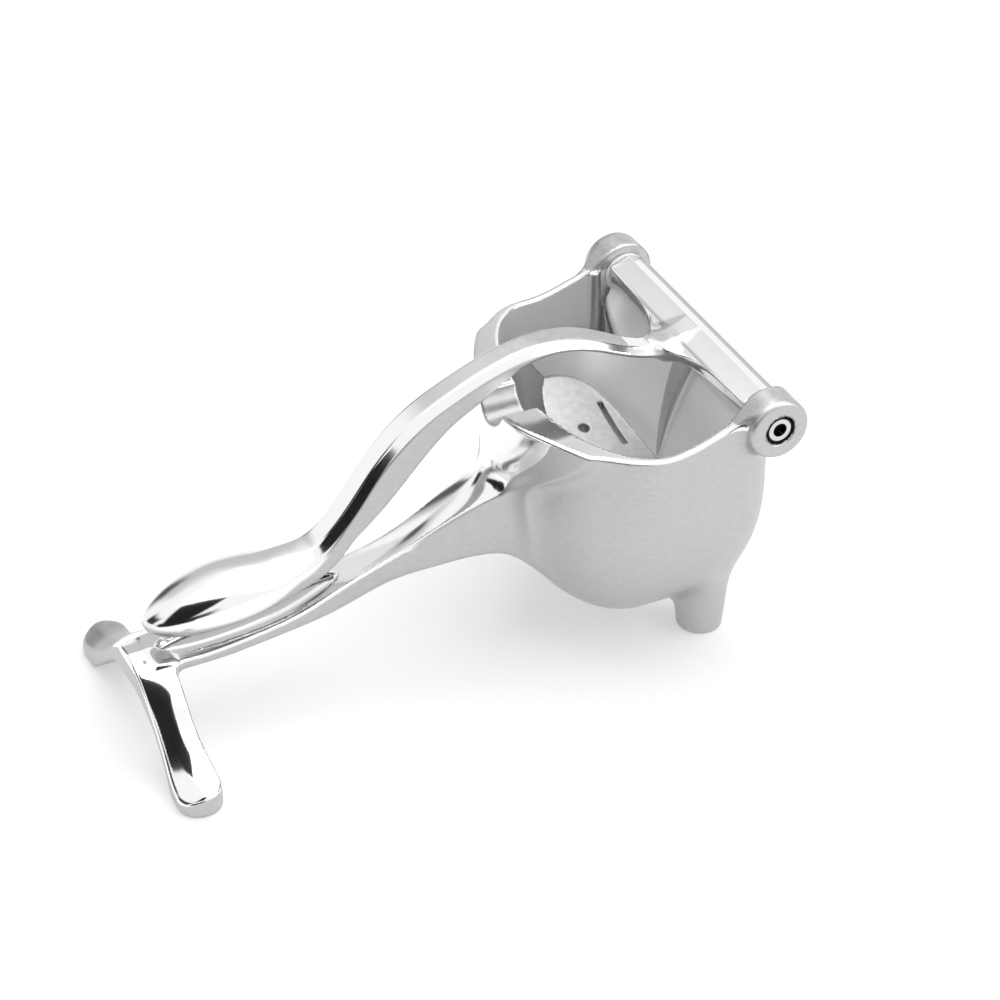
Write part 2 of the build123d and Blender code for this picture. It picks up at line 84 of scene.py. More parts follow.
class Curve:
    """A smooth line through knots, read as a value against a position.

    It is the natural cubic spline: between knots the value is a cubic, and the slope and the
    curvature agree at each knot. It is tabulated finely once and then read by interpolation.
    """

    def __init__(self, knots: Sequence[Tuple[float, float]]) -> None:
        """Solve the spline.

        Args:
            knots: (position, value) pairs, in rising position.
        """
        u = np.array([k[0] for k in knots], float)
        v = np.array([k[1] for k in knots], float)
        gap = np.diff(u)
        rise = np.diff(v) / gap
        size = len(u)
        system = np.eye(size)
        known = np.zeros(size)
        inner = np.arange(1, size - 1)
        system[inner, inner - 1] = gap[:-1]
        system[inner, inner] = 2.0 * (gap[:-1] + gap[1:])
        system[inner, inner + 1] = gap[1:]
        known[inner] = 6.0 * np.diff(rise)
        bend = np.linalg.solve(system, known)
        self.place = np.linspace(u[0], u[-1], 3001)
        cell = np.clip(np.searchsorted(u, self.place, side="right") - 1, 0, size - 2)
        a = u[cell + 1] - self.place
        b = self.place - u[cell]
        h = gap[cell]
        self.table = ((bend[cell] * a ** 3 + bend[cell + 1] * b ** 3) / (6.0 * h)
                      + (v[cell] / h - bend[cell] * h / 6.0) * a
                      + (v[cell + 1] / h - bend[cell + 1] * h / 6.0) * b)
        self.tilt = np.gradient(self.table, self.place)

    def __call__(self, place: Array) -> Array:
        """The value at each position, held level past the ends."""
        return np.interp(place, self.place, self.table)

    def slope(self, place: Array) -> Array:
        """The slope at each position."""
        return np.interp(place, self.place, self.tilt)

    def above(self, place: Array, height: Array) -> Array:
        """About the signed distance from the line: height less value, over the slope's length."""
        return (height - self(place)) / np.sqrt(1.0 + self.slope(place) ** 2)


def through(*knots: Tuple[float, float]) -> Curve:
    """A dataclass field that holds the curve through the knots."""
    return field(default_factory=lambda: Curve(knots))


def blend_min(a: Array, b: Array, radius: float) -> Array:
    """Union of two fields with a fillet: the lesser, less (radius - |a - b|)^2 / (4 radius).

    Args:
        a: first field.
        b: second field.
        radius: how far the fillet reaches up each surface.

    Returns:
        The joined field.
    """
    near = np.maximum(radius - np.abs(a - b), 0.0)
    return np.minimum(a, b) - near * near / (4.0 * radius)


def blend_max(a: Array, b: Array, radius: float) -> Array:
    """Overlap of two fields with a rounded edge of the given radius."""
    return -blend_min(-a, -b, radius)


def overlap(parts: Sequence[Array], radius: float) -> Array:
    """Overlap of several fields, each meeting the last with the same rounded edge."""
    total = parts[0]
    for part in parts[1:]:
        total = blend_max(total, part, radius)
    return total


def least(*parts: Array) -> Array:
    """The least of several fields, with sharp edges."""
    return np.minimum.reduce(parts)


def round_sum(a: Array, b: Array, power: float) -> Array:
    """The superellipse's measure: the root of the summed powers of two shares."""
    return (a ** power + b ** power) ** (1.0 / power)


def lengths(rows: Array) -> Array:
    """The length of each row, as a column and never nought."""
    return np.maximum(np.linalg.norm(rows, axis=1, keepdims=True), 1e-9)


def unit_field(form: Field, x: Array, y: Array, z: Array) -> Array:
    """A field divided by the length of its own gradient, so that it reads as a distance.

    Args:
        form: the field to level out.
        x: places along X.
        y: places along Y.
        z: places along Z.

    Returns:
        The field over its gradient's length, by forward differences.
    """
    eps = 0.05
    here = form(x, y, z)
    gx = form(x + eps, y, z) - here
    gy = form(x, y + eps, z) - here
    gz = form(x, y, z + eps) - here
    steep = np.sqrt(gx * gx + gy * gy + gz * gz) / eps
    return here / np.maximum(steep, 0.004)


# ---- field to mesh

CORNERS = np.array([[0, 0, 0], [1, 0, 0], [0, 1, 0], [1, 1, 0],
                    [0, 0, 1], [1, 0, 1], [0, 1, 1], [1, 1, 1]])
EDGES = ((0, 1), (2, 3), (4, 5), (6, 7), (0, 2), (1, 3), (4, 6), (5, 7), (0, 4), (1, 5), (2, 6), (3, 7))


@dataclass
class FieldMesher:
    """Turns a field into a closed quad mesh.

    One vertex stands in each grid cell that the zero surface crosses, at the mean of the
    crossings on the cell's edges, and each crossed grid edge gives the quad of its four cells.
    The vertices are then slid along the field's gradient on to the zero surface.
    """

    form: Field
    low: Triple
    high: Triple
    step: float

    def sample(self) -> Tuple[Array, Array]:
        """The field on the grid: fine where a coarse look finds the surface near.

        Returns:
            The grid's lowest corner and the values, indexed by X, Y and Z.
        """
        block = 4
        count = [int(math.ceil((b - a) / (self.step * block))) for a, b in zip(self.low, self.high)]
        low = np.array(self.low)
        side = self.step * block
        centre = [low[i] + side * (np.arange(count[i]) + 0.5) - self.step / 2 for i in range(3)]
        coarse = self.form(*np.meshgrid(*centre, indexing="ij"))
        values = np.repeat(np.repeat(np.repeat(coarse, block, 0), block, 1), block, 2)
        near = np.argwhere(np.abs(coarse) < side * 1.75)
        inner = np.stack(np.meshgrid(*[np.arange(block)] * 3, indexing="ij"), -1).reshape(-1, 3)
        index = (near[:, None, :] * block + inner[None]).reshape(-1, 3)
        place = low + index * self.step
        values[tuple(index.T)] = self.form(place[:, 0], place[:, 1], place[:, 2])
        return low, values

    def quads(self, values: Array, ids: Array) -> Array:
        """The quads round every crossed grid edge, wound so that they face outwards.

        Args:
            values: the field on the grid.
            ids: the vertex number of each cell, or -1.

        Returns:
            Vertex numbers, four to a row.
        """
        inside = values < 0.0
        found: List[Array] = []
        for axis in range(3):
            a = np.moveaxis(inside, axis, 0)
            cross = np.moveaxis(a[:-1] != a[1:], 0, axis)
            start = np.moveaxis(a[:-1], 0, axis)
            where = np.argwhere(cross)
            u, v = [k for k in range(3) if k != axis]
            where = where[(where[:, u] > 0) & (where[:, v] > 0)]
            ring = []
            for du, dv in ((0, 0), (1, 0), (1, 1), (0, 1)):
                cell = where.copy()
                cell[:, u] -= du
                cell[:, v] -= dv
                ring.append(ids[tuple(cell.T)])
            quad = np.stack(ring, 1)
            outward = start[tuple(where.T)]
            flip = outward if axis == 1 else ~outward
            quad[flip] = quad[flip][:, ::-1]
            found.append(quad)
        return np.concatenate(found)

    def gradient(self, p: Array) -> Array:
        """The field's gradient at points, by central differences."""
        eps = 0.02
        return np.stack([(self.form(*(p + shift).T) - self.form(*(p - shift).T)) / (2 * eps)
                         for shift in eps * np.eye(3)], 1)

    def settle(self, p: Array, rounds: int) -> Array:
        """Slide points on to the zero surface: each loses value times gradient over its square."""
        for _ in range(rounds):
            value = self.form(*p.T)
            slope = self.gradient(p)
            move = value[:, None] * slope / np.maximum((slope ** 2).sum(1), 0.05)[:, None]
            p = p - move * np.minimum(1.0, 0.5 * self.step / lengths(move))
        return p

    def even(self, p: Array, quad: Array, share: float) -> Array:
        """Move points part of the way to the mean of their neighbours, along the surface only."""
        total = np.zeros_like(p)
        count = np.zeros(len(p))
        for k in range(4):
            a, b = quad[:, k], quad[:, (k + 1) % 4]
            for one, other in ((a, b), (b, a)):
                np.add.at(total, one, p[other])
                np.add.at(count, one, 1.0)
        shift = total / np.maximum(count, 1.0)[:, None] - p
        normal = self.gradient(p)
        normal /= lengths(normal)
        shift -= (shift * normal).sum(1, keepdims=True) * normal
        return p + share * shift

    def run(self) -> Tuple[Array, Array]:
        """Make the mesh.

        Returns:
            Points in millimetres and quads of point numbers.
        """
        low, values = self.sample()
        inside = values < 0.0
        shape = np.array(values.shape) - 1
        total = np.zeros(shape, np.int8)
        for corner in CORNERS:
            total += inside[tuple(slice(c, c + s) for c, s in zip(corner, shape))]
        cells = np.argwhere((total > 0) & (total < 8))
        ids = np.full(shape, -1, np.int64)
        ids[tuple(cells.T)] = np.arange(len(cells))
        corner_values = np.stack([values[tuple((cells + c).T)] for c in CORNERS], 1)
        place = np.zeros((len(cells), 3))
        hits = np.zeros(len(cells))
        for a, b in EDGES:
            va, vb = corner_values[:, a], corner_values[:, b]
            crossed = (va < 0.0) != (vb < 0.0)
            part = np.where(crossed, va / np.where(crossed, va - vb, 1.0), 0.0)
            point = CORNERS[a] + part[:, None] * (CORNERS[b] - CORNERS[a])
            place += point * crossed[:, None]
            hits += crossed
        p = low + (cells + place / hits[:, None]) * self.step
        quad = self.quads(values, ids)
        p = self.settle(p, 2)
        for _ in range(2):
            p = self.settle(self.even(p, quad, 0.5), 1)
        return self.settle(p, 2), quad


def write_mesh(name: str, points: Array, faces: Array) -> bpy.types.Object:
    """A smooth-shaded mesh object at the origin.

    Args:
        name: the object's name.
        points: places in millimetres.
        faces: point numbers, one face to a row.

    Returns:
        The linked object.
    """
    mesh = bpy.data.meshes.new(name)
    mesh.from_pydata((points * MM).tolist(), [], faces.tolist())
    mesh.polygons.foreach_set("use_smooth", np.ones(len(mesh.polygons), bool))
    mesh.update()
    made = bpy.data.objects.new(name, mesh)
    bpy.context.scene.collection.objects.link(made)
    return made


def write_mask(made: bpy.types.Object, name: str, values: Array) -> None:
    """Store one number per vertex for the material to read.

    Masks are lengths in millimetres, above zero where the finish is, so that they run
    straight across a face and the material can draw a clean line at zero.
    """
    layer = made.data.attributes.new(name, "FLOAT", "POINT")
    layer.data.foreach_set("value", np.clip(values, -MASK_LIMIT, MASK_LIMIT).astype(np.float32))


# ---- shared sizes of the tool

@dataclass(frozen=True)
class Hinge:
    """The hinge line and what runs on it."""

    x: float = 89.7
    z: float = 87.6
    lug_radius: float = 9.5
    lug_inner: float = 45.0
    lug_outer: float = 55.0
    bar_radius: float = 7.4
    bar_end: float = 43.5
    hole_radius: float = 4.1
    hole_start: float = 44.0
    counterbore: float = 4.7
    counterbore_floor: float = 50.4

    def radius(self, x: Array, z: Array) -> Array:
        """Distance from the hinge line."""
        return np.hypot(x - self.x, z - self.z)


@dataclass(frozen=True)
class BowlPlan:
    """One skin of the bowl: an elliptical front, a squarer rear and walls that curve in below."""

    front: float
    rear: float
    half: float
    bottom: float
    centre: float = 56.2
    start: float = 62.0
    power: float = 2.3
    rear_power: float = 5.0

    def raw(self, x: Array, y: Array, z: Array) -> Array:
        """The skin's field before it is levelled out.

        The plan measure is the ellipse's radius share ahead of the centre and the superellipse's
        behind it; with the share of the fall below the start height it makes a second
        superellipse, less one.
        """
        dx = x - self.centre
        ahead = np.sqrt((np.minimum(dx, 0.0) / self.front) ** 2 + (y / self.half) ** 2)
        behind = round_sum(np.maximum(dx, 0.0) / self.rear, np.abs(y / self.half), self.rear_power)
        plan = np.where(dx < 0.0, ahead, behind)
        fall = np.maximum(self.start - z, 0.0) / (self.start - self.bottom)
        return round_sum(plan, fall, self.power) - 1.0

    def field(self, x: Array, y: Array, z: Array) -> Array:
        """About the signed distance from the skin."""
        return unit_field(self.raw, x, y, z)


HINGE = Hinge()
BOWL_OUTSIDE = BowlPlan(30.0, 41.0, 50.0, 9.0)
BOWL_INSIDE = BowlPlan(23.0, 38.0, 47.0, 13.0)


@dataclass
class Casting:
    """A casting given by a field, meshed and dressed as one piece.

    A method that takes x, y and z is a field: it takes places along the three axes as arrays of
    one shape, in millimetres, and gives back about the signed distance from a surface at each,
    below zero inside. A mask is such a distance too, but above zero where its finish is.
    """

    name: str
    body: str
    node: str
    slot: str
    low: Triple
    high: Triple
    step: float

    def form(self, x: Array, y: Array, z: Array) -> Array:
        """The casting's field, below zero inside the metal."""
        raise NotImplementedError

    def masks(self, p: Array) -> Dict[str, Array]:
        """The finishes other than satin, each as a mask: polish, inner wall and cast skin."""
        raise NotImplementedError

    def build(self) -> bpy.types.Object:
        """Mesh the field, write its masks and stand it in for its node."""
        step = self.step * 1.0
        mesher = FieldMesher(self.form, self.low, self.high, step)
        points, quads = mesher.run()
        made = write_mesh(self.name, points, quads)
        slope = mesher.gradient(points)
        made.data.normals_split_custom_set_from_vertices((slope / lengths(slope)).tolist())
        for label, values in self.masks(points).items():
            write_mask(made, label, values)
        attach(made, self.body)
        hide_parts(self.node)
        LOG.info("%s: %d quads", self.name, len(quads))
        return made


@dataclass
class BodyCasting(Casting):
    """Bowl, lugs, rear legs, lower handle, horn and T-bar foot, cast in one."""

    name: str = "body_casting_look"
    body: str = "body"
    node: str = "body_casting"
    slot: str = "casting"
    low: Triple = (-101.0, -57.0, -2.0)
    high: Triple = (101.0, 57.0, 99.0)
    step: float = 0.88
    rim: Curve = through((-200, 84), (20, 84), (50, 84), (60, 84.1), (66, 85.4), (73, 87.8), (81, 90.3),
        (90, 92.5), (110, 96))
    handle_top: Curve = through((-101, 27.2), (-92, 27.4), (-84, 27.5), (-65, 29), (-45, 32.2),
        (-31.5, 36.6), (-11.6, 42.6), (1.8, 48.2), (15.2, 54.2), (27, 58), (40, 60))
    handle_under: Curve = through((-101, 21.6), (-92, 21.8), (-83, 22.8), (-70, 23.6), (-58, 24.6),
        (-45, 26), (-31.6, 28), (-21.5, 30.8), (-11.5, 33.4), (2, 34.8), (15, 35.6), (22, 34.6),
        (29, 32), (36, 29.5), (40, 28.5))
    handle_half: Curve = through((-101, 6.5), (-92, 7.2), (-80, 8.6), (-60, 8.6), (-35, 7.4),
        (-15, 5.6), (5, 6.2), (20, 8.7), (30, 12), (38, 17))
    horn_front: Curve = through((30, -2), (44, 4), (48, 7.5), (50, 9.8), (53.5, 13.6), (60, 17.5),
        (68, 19.5), (76, 20.6), (84, 21), (100, 21.2))
    horn_half: Curve = through((30, 8.5), (40, 9.2), (48, 9.4), (56, 8.8), (60, 9.4), (65, 12.5),
        (70, 17.5), (75, 22), (80, 25.5), (84, 27), (100, 28))
    foot_top: Curve = through((0, 29), (8, 27.6), (15, 24.2), (22, 18.6), (29, 13), (35, 9.6),
        (40.2, 8.1), (48, 7.2))
    foot_under: Curve = through((0, 19.5), (8, 18.9), (15, 16), (21, 11.3), (28, 5.2), (33, 0.8),
        (36, -2), (48, -10))
    foot_half: Curve = through((0, 6.2), (9, 6.1), (15, 5.9), (22, 5.7), (29, 6.1), (35, 6.7),
        (40.2, 7), (48, 7))
    foot_x: float = -92.2
    foot_y: float = 40.2
    foot_radius: float = 7.0
    foot_bevel: float = 0.5
    bevel_ahead: float = 0.4
    bevel_start: float = 5.0
    bevel_run: float = 14.0
    handle_front: float = -90.5
    handle_rear: float = 40.0
    saddle_share: float = 0.94
    saddle_power: float = 1.8
    leg: Sizes = (81.6, 25.7, 7.2, 0.085, 36.0)  # place along X and Y, radius, its growth, top
    upright: Sizes = (80.7, 47.6, 3.3, 58.0, 91.0)  # place along X and Y, radius, foot, top
    well: Sizes = (-59.6, 29.0, 6.4, 3.5)  # middle, half length, half width, depth
    seat: Sizes = (85.4, 7.6, 36.0)  # height of its axis, radius, rear end
    drain: Sizes = (60.2, 9.0, 2.0, 21.5, 22.0)  # place along X, pitch, radius, reach, top
    bar_clear: float = 1.0
    sill: float = 77.5
    leg_fillet: float = 9.0
    horn_fillet: float = 10.0
    handle_fillet: float = 9.0
    foot_fillet: float = 3.5
    lug_fillet: float = 7.0
    rim_edge: float = 1.3
    polish_rear: float = 30.0
    foot_polish: Sizes = (-83.5, 14.0)  # rear end along X, far end along Y
    horn_polish: float = 42.0
    rim_polish: float = 18.0

    def handle(self, x: Array, y: Array, z: Array) -> Array:
        """The lower handle: between its top and under lines, within its half width.

        The side's lower edge is well rounded and its top edge crisp.
        """
        side = np.abs(y) - self.handle_half(x)
        top = self.handle_top.above(x, z)
        under = -self.handle_under.above(x, z)
        return overlap([blend_max(under, side, 3.5), top, x - self.handle_rear, self.handle_front - x], 1.0)

    def saddle(self, x: Array, y: Array, z: Array) -> Array:
        """The horn's face before it is levelled out.

        From the front line in the middle it falls back to the bowl's wall near the half width,
        by the 1.8th power of a share that rises as |y| over the half width and levels off
        smoothly at one: the ratio over the eighth root of one plus its eighth power.
        """
        ratio = np.abs(y) / (self.saddle_share * self.horn_half(z))
        share = ratio / (1.0 + ratio ** 8) ** 0.125
        bowl = BOWL_OUTSIDE
        fall = np.clip((bowl.start - z) / (bowl.start - bowl.bottom), 0.0, 0.98)
        plan = (1.0 - fall ** bowl.power) ** (1.0 / bowl.power)
        wall = bowl.centre - bowl.front * np.sqrt(np.maximum(plan ** 2 - (y / bowl.half) ** 2, 0.0))
        front = self.horn_front(z)
        return front + (wall + 0.3 - front) * share ** self.saddle_power - x

    def horn(self, x: Array, y: Array, z: Array) -> Array:
        """The horn: a saddle that flares out along the rim, behind its levelled face."""
        face = unit_field(self.saddle, x, y, z)
        side = np.abs(y) - 1.3 * self.horn_half(z) - 2.0
        under = 4.0 - self.handle_under.above(x, z)
        return overlap([side, face, x - self.handle_rear, under], 1.2)

    def bevel(self, a: Array) -> Array:
        """The T-bar bevel's slant, which dies out towards the handle."""
        return self.foot_bevel * np.clip((a - self.bevel_start) / self.bevel_run, 0.0, 1.0)

    def foot(self, x: Array, y: Array, z: Array) -> Array:
        """The T-bar: an arch along Y with round-ended feet, waisted in plan.

        Its front half falls away in a long bevel, whose fall is a share of the way forward.
        """
        a = np.abs(y)
        dx = np.abs(x - self.foot_x)
        plan = np.where(a < self.foot_y, dx - self.foot_half(a),
                        np.hypot(dx, a - self.foot_y) - self.foot_radius)
        top = self.foot_top.above(a, z)
        slant = self.bevel(a)
        fall = (top - slant * (x - self.foot_x + self.bevel_ahead)) / np.hypot(1.0, slant)
        under = -self.foot_under.above(a, z)
        return overlap([blend_max(plan, blend_max(top, fall, 0.8), 1.4), under, -z], 1.0)

    def legs(self, x: Array, y: Array, z: Array) -> Array:
        """The two rear legs: cones that widen upwards."""
        middle, aside, radius, growth, top = self.leg
        reach = np.hypot(x - middle, np.abs(y) - aside)
        return overlap([reach - (radius + growth * z), z - top, -z], 1.2)

    def lugs(self, x: Array, y: Array, z: Array) -> Array:
        """The hinge lugs: short cylinders with rounded outer edges."""
        ring = HINGE.radius(x, z) - HINGE.lug_radius
        outer = blend_max(ring, np.abs(y) - HINGE.lug_outer, 1.8)
        return blend_max(outer, HINGE.lug_inner - np.abs(y), 0.5)

    def uprights(self, x: Array, y: Array, z: Array) -> Array:
        """The half-round uprights inside the side walls, under the lugs."""
        middle, aside, radius, low, high = self.upright
        reach = np.hypot(x - middle, np.abs(y) - aside) - radius
        return overlap([reach, low - z, z - high], 0.8)

    def form(self, x: Array, y: Array, z: Array) -> Array:
        """The bowl's outside joined by fillets to legs, handle, horn and T-bar, then hollowed."""
        outside = BOWL_OUTSIDE.field(x, y, z)
        solid = blend_min(outside, self.legs(x, y, z), self.leg_fillet)
        arm = blend_min(self.handle(x, y, z), self.horn(x, y, z), self.horn_fillet)
        solid = blend_min(solid, arm, self.handle_fillet)
        solid = blend_min(solid, self.foot(x, y, z), self.foot_fillet)
        rim = self.rim.above(x, z)
        solid = blend_max(solid, rim, self.rim_edge)
        lugs = self.lugs(x, y, z)
        solid = blend_min(solid, lugs, self.lug_fillet)
        cavity = BOWL_INSIDE.field(x, y, z)
        solid = blend_min(blend_max(solid, -cavity, 1.0), lugs, 0.3)
        solid = blend_min(solid, np.maximum(self.uprights(x, y, z), np.maximum(outside, rim)), 0.5)
        return self.cut(solid, x, y, z)

    def well_plan(self, x: Array, y: Array) -> Tuple[Array, Array]:
        """The well's ellipse in plan.

        The distance is ring (ring - 1) over the length of the ellipse's own gradient.

        Returns:
            The share of the way from the middle to the edge, and about the distance to the edge.
        """
        middle, half_length, half_width, _ = self.well
        ring = np.hypot((x - middle) / half_length, y / half_width)
        steep = np.hypot((x - middle) / half_length ** 2, y / half_width ** 2)
        return ring, ring * (ring - 1.0) / np.maximum(steep, 0.001)

    def cut(self, solid: Array, x: Array, y: Array, z: Array) -> Array:
        """Take out the well, the ground, the bar's room, the seat notch, the bores and the drain."""
        ring, plan = self.well_plan(x, y)
        floor = -(self.handle_top.above(x, z) + self.well[3] * (1.0 - 0.55 * np.minimum(ring, 1.0) ** 2))
        well = blend_max(plan, floor, 1.5)
        a = np.abs(y)
        ring = HINGE.radius(x, z)
        reach = HINGE.x - HINGE.bar_radius - self.bar_clear
        room = blend_min(ring - HINGE.bar_radius - self.bar_clear,
                         np.maximum(self.sill - z, reach - x), 2.0)
        room = blend_max(room, a - HINGE.lug_inner, 0.5)
        height, radius, rear = self.seat
        seat = np.maximum(np.hypot(y, z - height) - radius, x - rear)
        bore = np.minimum(np.maximum(ring - HINGE.hole_radius, HINGE.hole_start - a),
                          np.maximum(ring - HINGE.counterbore, HINGE.counterbore_floor - a))
        middle, pitch, radius, reach, top = self.drain
        spot = np.abs((y + 2.5 * pitch) % pitch - pitch / 2.0)
        drain = overlap([np.hypot(x - middle, spot) - radius, a - reach, z - top], 0.2)
        for tool, edge in ((well, 0.8), (z, 0.6), (room, 0.8), (seat, 0.8), (bore, 0.4), (drain, 0.6)):
            solid = blend_max(solid, -tool, edge)
        return solid

    def masks(self, p: Array) -> Dict[str, Array]:
        """Polish on the tops of handle, T-bar, rim and the horn's face; the bowl's own inside."""
        x, y, z = p.T
        a = np.abs(y)
        above = np.abs(self.handle_top.above(x, z))
        reach = 0.8 + 3.2 * np.clip((x + 10.0) / 10.0, 0.0, 1.0)
        ahead = self.polish_rear - x
        handle = least(reach - above, self.handle_half(x) + 0.4 - a, ahead)
        well = least(-self.well_plan(x, y)[1], z - self.handle_under(x) - 1.0, ahead)
        drop = self.bevel(a) * np.maximum(self.foot_x - self.bevel_ahead - x, 0.0)
        foot = least(0.9 - np.abs(self.foot_top.above(a, z) + drop), self.foot_polish[0] - x,
                     self.foot_polish[1] - y)
        horn = least(self.horn_half(z) - a, z - self.horn_polish, ahead,
                     4.0 - np.abs(self.saddle(x, y, z)),
                     np.hypot(y, z - self.seat[0]) - self.seat[1] - 0.7)
        under_rim = -self.rim.above(x, z)
        rim = least(0.8 - np.abs(under_rim), x - self.rim_polish,
                    HINGE.radius(x, z) - HINGE.lug_radius - 0.6)
        inner = least(0.9 - np.abs(BOWL_INSIDE.field(x, y, z)), under_rim - 0.5)
        return {"polish": np.maximum.reduce([handle, well, foot, horn, rim]), "inner": inner,
                "cast": np.full(len(x), -MASK_LIMIT)}


@dataclass
class PressLever(Casting):
    """Grip pad, swan-neck arm, strap, web, hinge bar and press shoe, cast in one."""

    name: str = "press_lever_look"
    body: str = "lever"
    node: str = "press_lever"
    slot: str = "lever_casting"
    low: Triple = (-95.0, -45.0, 30.0)
    high: Triple = (99.0, 45.0, 105.0)
    step: float = 0.62
    arm_top: Curve = through((-64, 42.9), (-58, 43.7), (-52, 45.7), (-46, 48.4), (-40, 50.6),
        (-33.5, 56), (-26.5, 64.5), (-20, 73.4), (-13.3, 80.9), (-6.7, 86.6), (0, 90.9), (7, 94.4),
        (14, 97.5), (22, 100.4), (30, 102.3), (38, 103), (46, 102.2), (54, 99.9), (61, 96.8),
        (68, 93.6), (76, 91.4), (84, 90.8), (95, 90.8))
    arm_under: Curve = through((-64, 41.9), (-58, 42.2), (-52, 42.5), (-45.5, 43), (-38, 44.6),
        (-31.3, 48.6), (-24.7, 53.5), (-11.4, 66), (2, 80), (8.5, 85), (15, 88.8), (23, 94), (30, 97.6),
        (38, 99.4), (46, 98.8), (54, 96.3), (61, 93), (68, 89.9), (76, 87.9), (84, 87.4), (95, 87.4))
    arm_half: Curve = through((-64, 3), (-58, 3.6), (-51, 5.2), (-45, 5.9), (-38, 6.2), (0, 6.3),
        (40, 6.3), (58, 6.1), (70, 5.2), (78, 5), (95, 5))
    web_edge: Curve = through((0, 77), (5.5, 78), (10.5, 80.4), (18.3, 82.9), (23.2, 83.7),
        (30.9, 84.3), (41.9, 85), (60, 86))
    wall_rear: Curve = through((20, 22), (46, 23.2), (59, 25.2), (67, 27.3), (75, 30), (84, 33.6),
        (96, 35.5))
    wall_half: Curve = through((20, 41.2), (46, 41.2), (60, 42), (70, 43.4), (80, 45.3), (96, 45.6))
    wall_power: Curve = through((20, 2.8), (46, 2.8), (58, 3.1), (68, 4.1), (80, 5.8), (96, 6))
    pad_half: Curve = through((-66, 12), (-56, 11), (-46, 8.2), (-38, 5.6), (-30, 3))
    pad_tall: Curve = through((-66, 8.2), (-56, 7.4), (-46, 5.2), (-38, 3.2), (-30, 1.6))
    pad_mid: Curve = through((-94, 37.9), (-90, 38.4), (-86, 39.2), (-78, 40.7), (-68, 42.2),
        (-56, 43.1), (-46, 44), (-38, 45.5), (-30, 49))
    pad_centre: float = -66.0
    pad_nose: float = 26.4
    pad_power: float = 2.3
    pad_rear: float = -32.0
    arm_start: float = -62.0
    arm_end: float = 88.0
    arm_bevel: float = 2.6
    bar_flats: Tuple[Tuple[float, float], ...] = ((115.0, 6.45), (70.0, 6.6))
    bar_low_flat: Tuple[float, float] = (208.0, 3.13)
    web_thick: float = 3.4
    web_side: float = 43.0
    crease: float = 46.0
    wall_centre: float = 56.2
    wing_top: float = 67.8
    curtain: float = 82.2
    dish: float = 80.0
    wall: float = 3.0
    shoe_top: float = 88.0
    swing_side: float = 33.5
    swing_bulge: float = 22.0
    swing_half: float = 46.0
    floor_top: float = 60.0
    juice_slot: Sizes = (74.0, 0.8, 21.0, 9.0)  # middle and half width along X, then along Y
    vent: Sizes = (64.7, 22.5, 1.7)  # place along X and Y, radius
    rib_half: Sizes = (0.9, 0.1)  # half width at the crease, its growth
    rib_proud: Sizes = (0.7, 0.06)  # height over the wall at the crease, its growth
    screw_hole: float = 2.6
    screw_end: float = 29.0
    near_arm: float = 2.3
    strap_fade: Sizes = (25.0, 80.0)  # end of the polish, softness of that end
    pad_fade: Sizes = (-36.0, 10.0)
    pad_side: Sizes = (4.0, 6.0)  # depth of the polish under the arm's top, softness
    web_polish: float = 66.0
    floor_skin: float = 44.0

    def pad_raw(self, x: Array, y: Array, z: Array) -> Array:
        """The grip pad: superelliptic sections, closed at the nose by an ellipsoid's fall."""
        across = np.abs(y) / self.pad_half(x)
        tall = np.abs(z - self.pad_mid(x)) / self.pad_tall(x)
        nose = np.minimum(x - self.pad_centre, 0.0) / self.pad_nose
        return np.sqrt(round_sum(across, tall, self.pad_power) ** 2 + nose ** 2) - 1.0

    def arm(self, x: Array, y: Array, z: Array) -> Array:
        """The swan-neck arm: between its top and under lines, with bevelled top edges."""
        a = np.abs(y)
        side = a - self.arm_half(x)
        top = self.arm_top.above(x, z)
        under = -self.arm_under.above(x, z)
        bevel = (side + top + self.arm_bevel) * DIAGONAL
        crown = overlap([top, side, bevel], 0.5)
        return overlap([blend_max(crown, under, 1.4), self.arm_start - x, x - self.arm_end], 0.8)

    def facet(self, x: Array, z: Array, degrees: float, reach: float) -> Array:
        """A flat on the hinge bar, facing a direction turned from +X towards +Z, at its reach."""
        turn = math.radians(degrees)
        return (x - HINGE.x) * math.cos(turn) + (z - HINGE.z) * math.sin(turn) - reach

    def bar(self, x: Array, y: Array, z: Array) -> Array:
        """The hinge bar: a round with two flats on top, one low in front and broken ends."""
        flats = [self.facet(x, z, *flat) for flat in self.bar_flats]
        top = overlap([HINGE.radius(x, z) - HINGE.bar_radius, *flats], 0.35)
        return overlap([top, self.facet(x, z, *self.bar_low_flat), np.abs(y) - HINGE.bar_end], 0.7)

    def web(self, x: Array, y: Array, z: Array) -> Array:
        """The plate that widens from the strap into the bar, flaring like a trumpet in plan."""
        side = -self.web_edge.above(np.abs(y), x)
        top = self.arm_top.above(x, z)
        return overlap([side, top, -top - self.web_thick, x - HINGE.x, np.abs(y) - self.web_side], 1.0)

    def wall_raw(self, x: Array, y: Array, z: Array, extra: float) -> Array:
        """The shoe's back wall: a superellipse in plan, wider and squarer towards the bar."""
        power = self.wall_power(z)
        behind = np.maximum(x - self.wall_centre, 0.0) / (self.wall_rear(z) + extra)
        beside = np.abs(y) / (self.wall_half(z) + extra)
        return (behind ** power + beside ** power + 1e-9) ** (1.0 / power) - 1.0

    def wall_field(self, x: Array, y: Array, z: Array, extra: float) -> Array:
        """About the signed distance from the back wall, standing out by the extra."""
        return unit_field(lambda u, v, w: self.wall_raw(u, v, w, extra), x, y, z)

